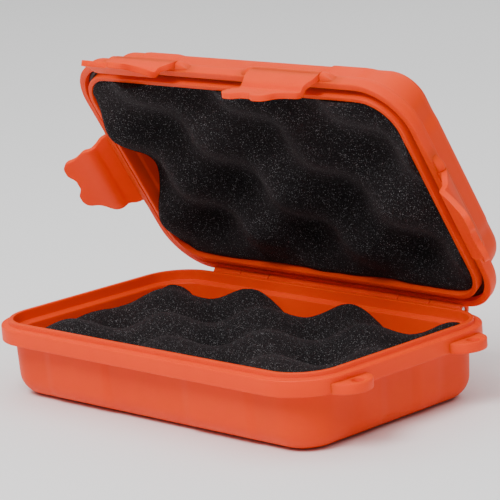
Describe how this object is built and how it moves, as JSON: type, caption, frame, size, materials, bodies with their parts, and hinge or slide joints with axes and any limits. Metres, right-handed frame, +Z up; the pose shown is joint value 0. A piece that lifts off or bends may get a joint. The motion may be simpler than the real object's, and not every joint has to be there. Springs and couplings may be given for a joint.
{
  "type": "hinged hard case",
  "caption": "Pocket-size hinged waterproof hard case with egg-crate foam in base and lid, snap latches on the rim and lashing eyelets.",
  "frame": {"origin": "centre of the flat underside of the base", "axes": "+X along the long side to the right seen from the front, +Y from front to the hinge at the back, +Z up"},
  "size_m": [0.1672, 0.0935, 0.0999],
  "materials": {
    "shell": "satin moulded orange",
    "latch": "satin moulded orange",
    "seal": "matt black cord",
    "foam": "open-cell black foam",
    "pin": "drawn wire"
  },
  "bodies": {
    "base": {"base_shell": "shell", "base_foam": "foam", "hinge_pin_left": "pin", "hinge_pin_right": "pin"},
    "lid": {"lid_shell": "shell", "lid_gasket": "seal", "lid_foam": "foam", "latch_pin_front_left": "pin", "latch_pin_front_right": "pin", "latch_pin_left": "pin", "latch_pin_right": "pin"},
    "latch_front_left": {"latch_front_left": "latch"},
    "latch_front_right": {"latch_front_right": "latch"},
    "latch_left": {"latch_left": "latch"},
    "latch_right": {"latch_right": "latch"}
  },
  "joints": [
    {"name": "lid_hinge", "type": "hinge", "parent": "base", "child": "lid", "pos_m": [0, 0.0432, 0.022], "axis": [-1, 0, 0], "range_deg": [-59.5, 44.5]},
    {"name": "latch_front_left_hinge", "type": "hinge", "parent": "lid", "child": "latch_front_left", "pos_m": [-0.0315, 0.00168, 0.09643], "axis": [-1, 0, 0], "range_deg": [-18, 92]},
    {"name": "latch_front_right_hinge", "type": "hinge", "parent": "lid", "child": "latch_front_right", "pos_m": [0.0263, 0.00168, 0.09643], "axis": [-1, 0, 0], "range_deg": [0, 110]},
    {"name": "latch_left_hinge", "type": "hinge", "parent": "lid", "child": "latch_left", "pos_m": [-0.0678, 0.02401, 0.05851], "axis": [0, 0.5075, -0.8616], "range_deg": [-34, 76]},
    {"name": "latch_right_hinge", "type": "hinge", "parent": "lid", "child": "latch_right", "pos_m": [0.0678, 0.02401, 0.05851], "axis": [0, -0.5075, 0.8616], "range_deg": [-30, 80]}
  ]
}
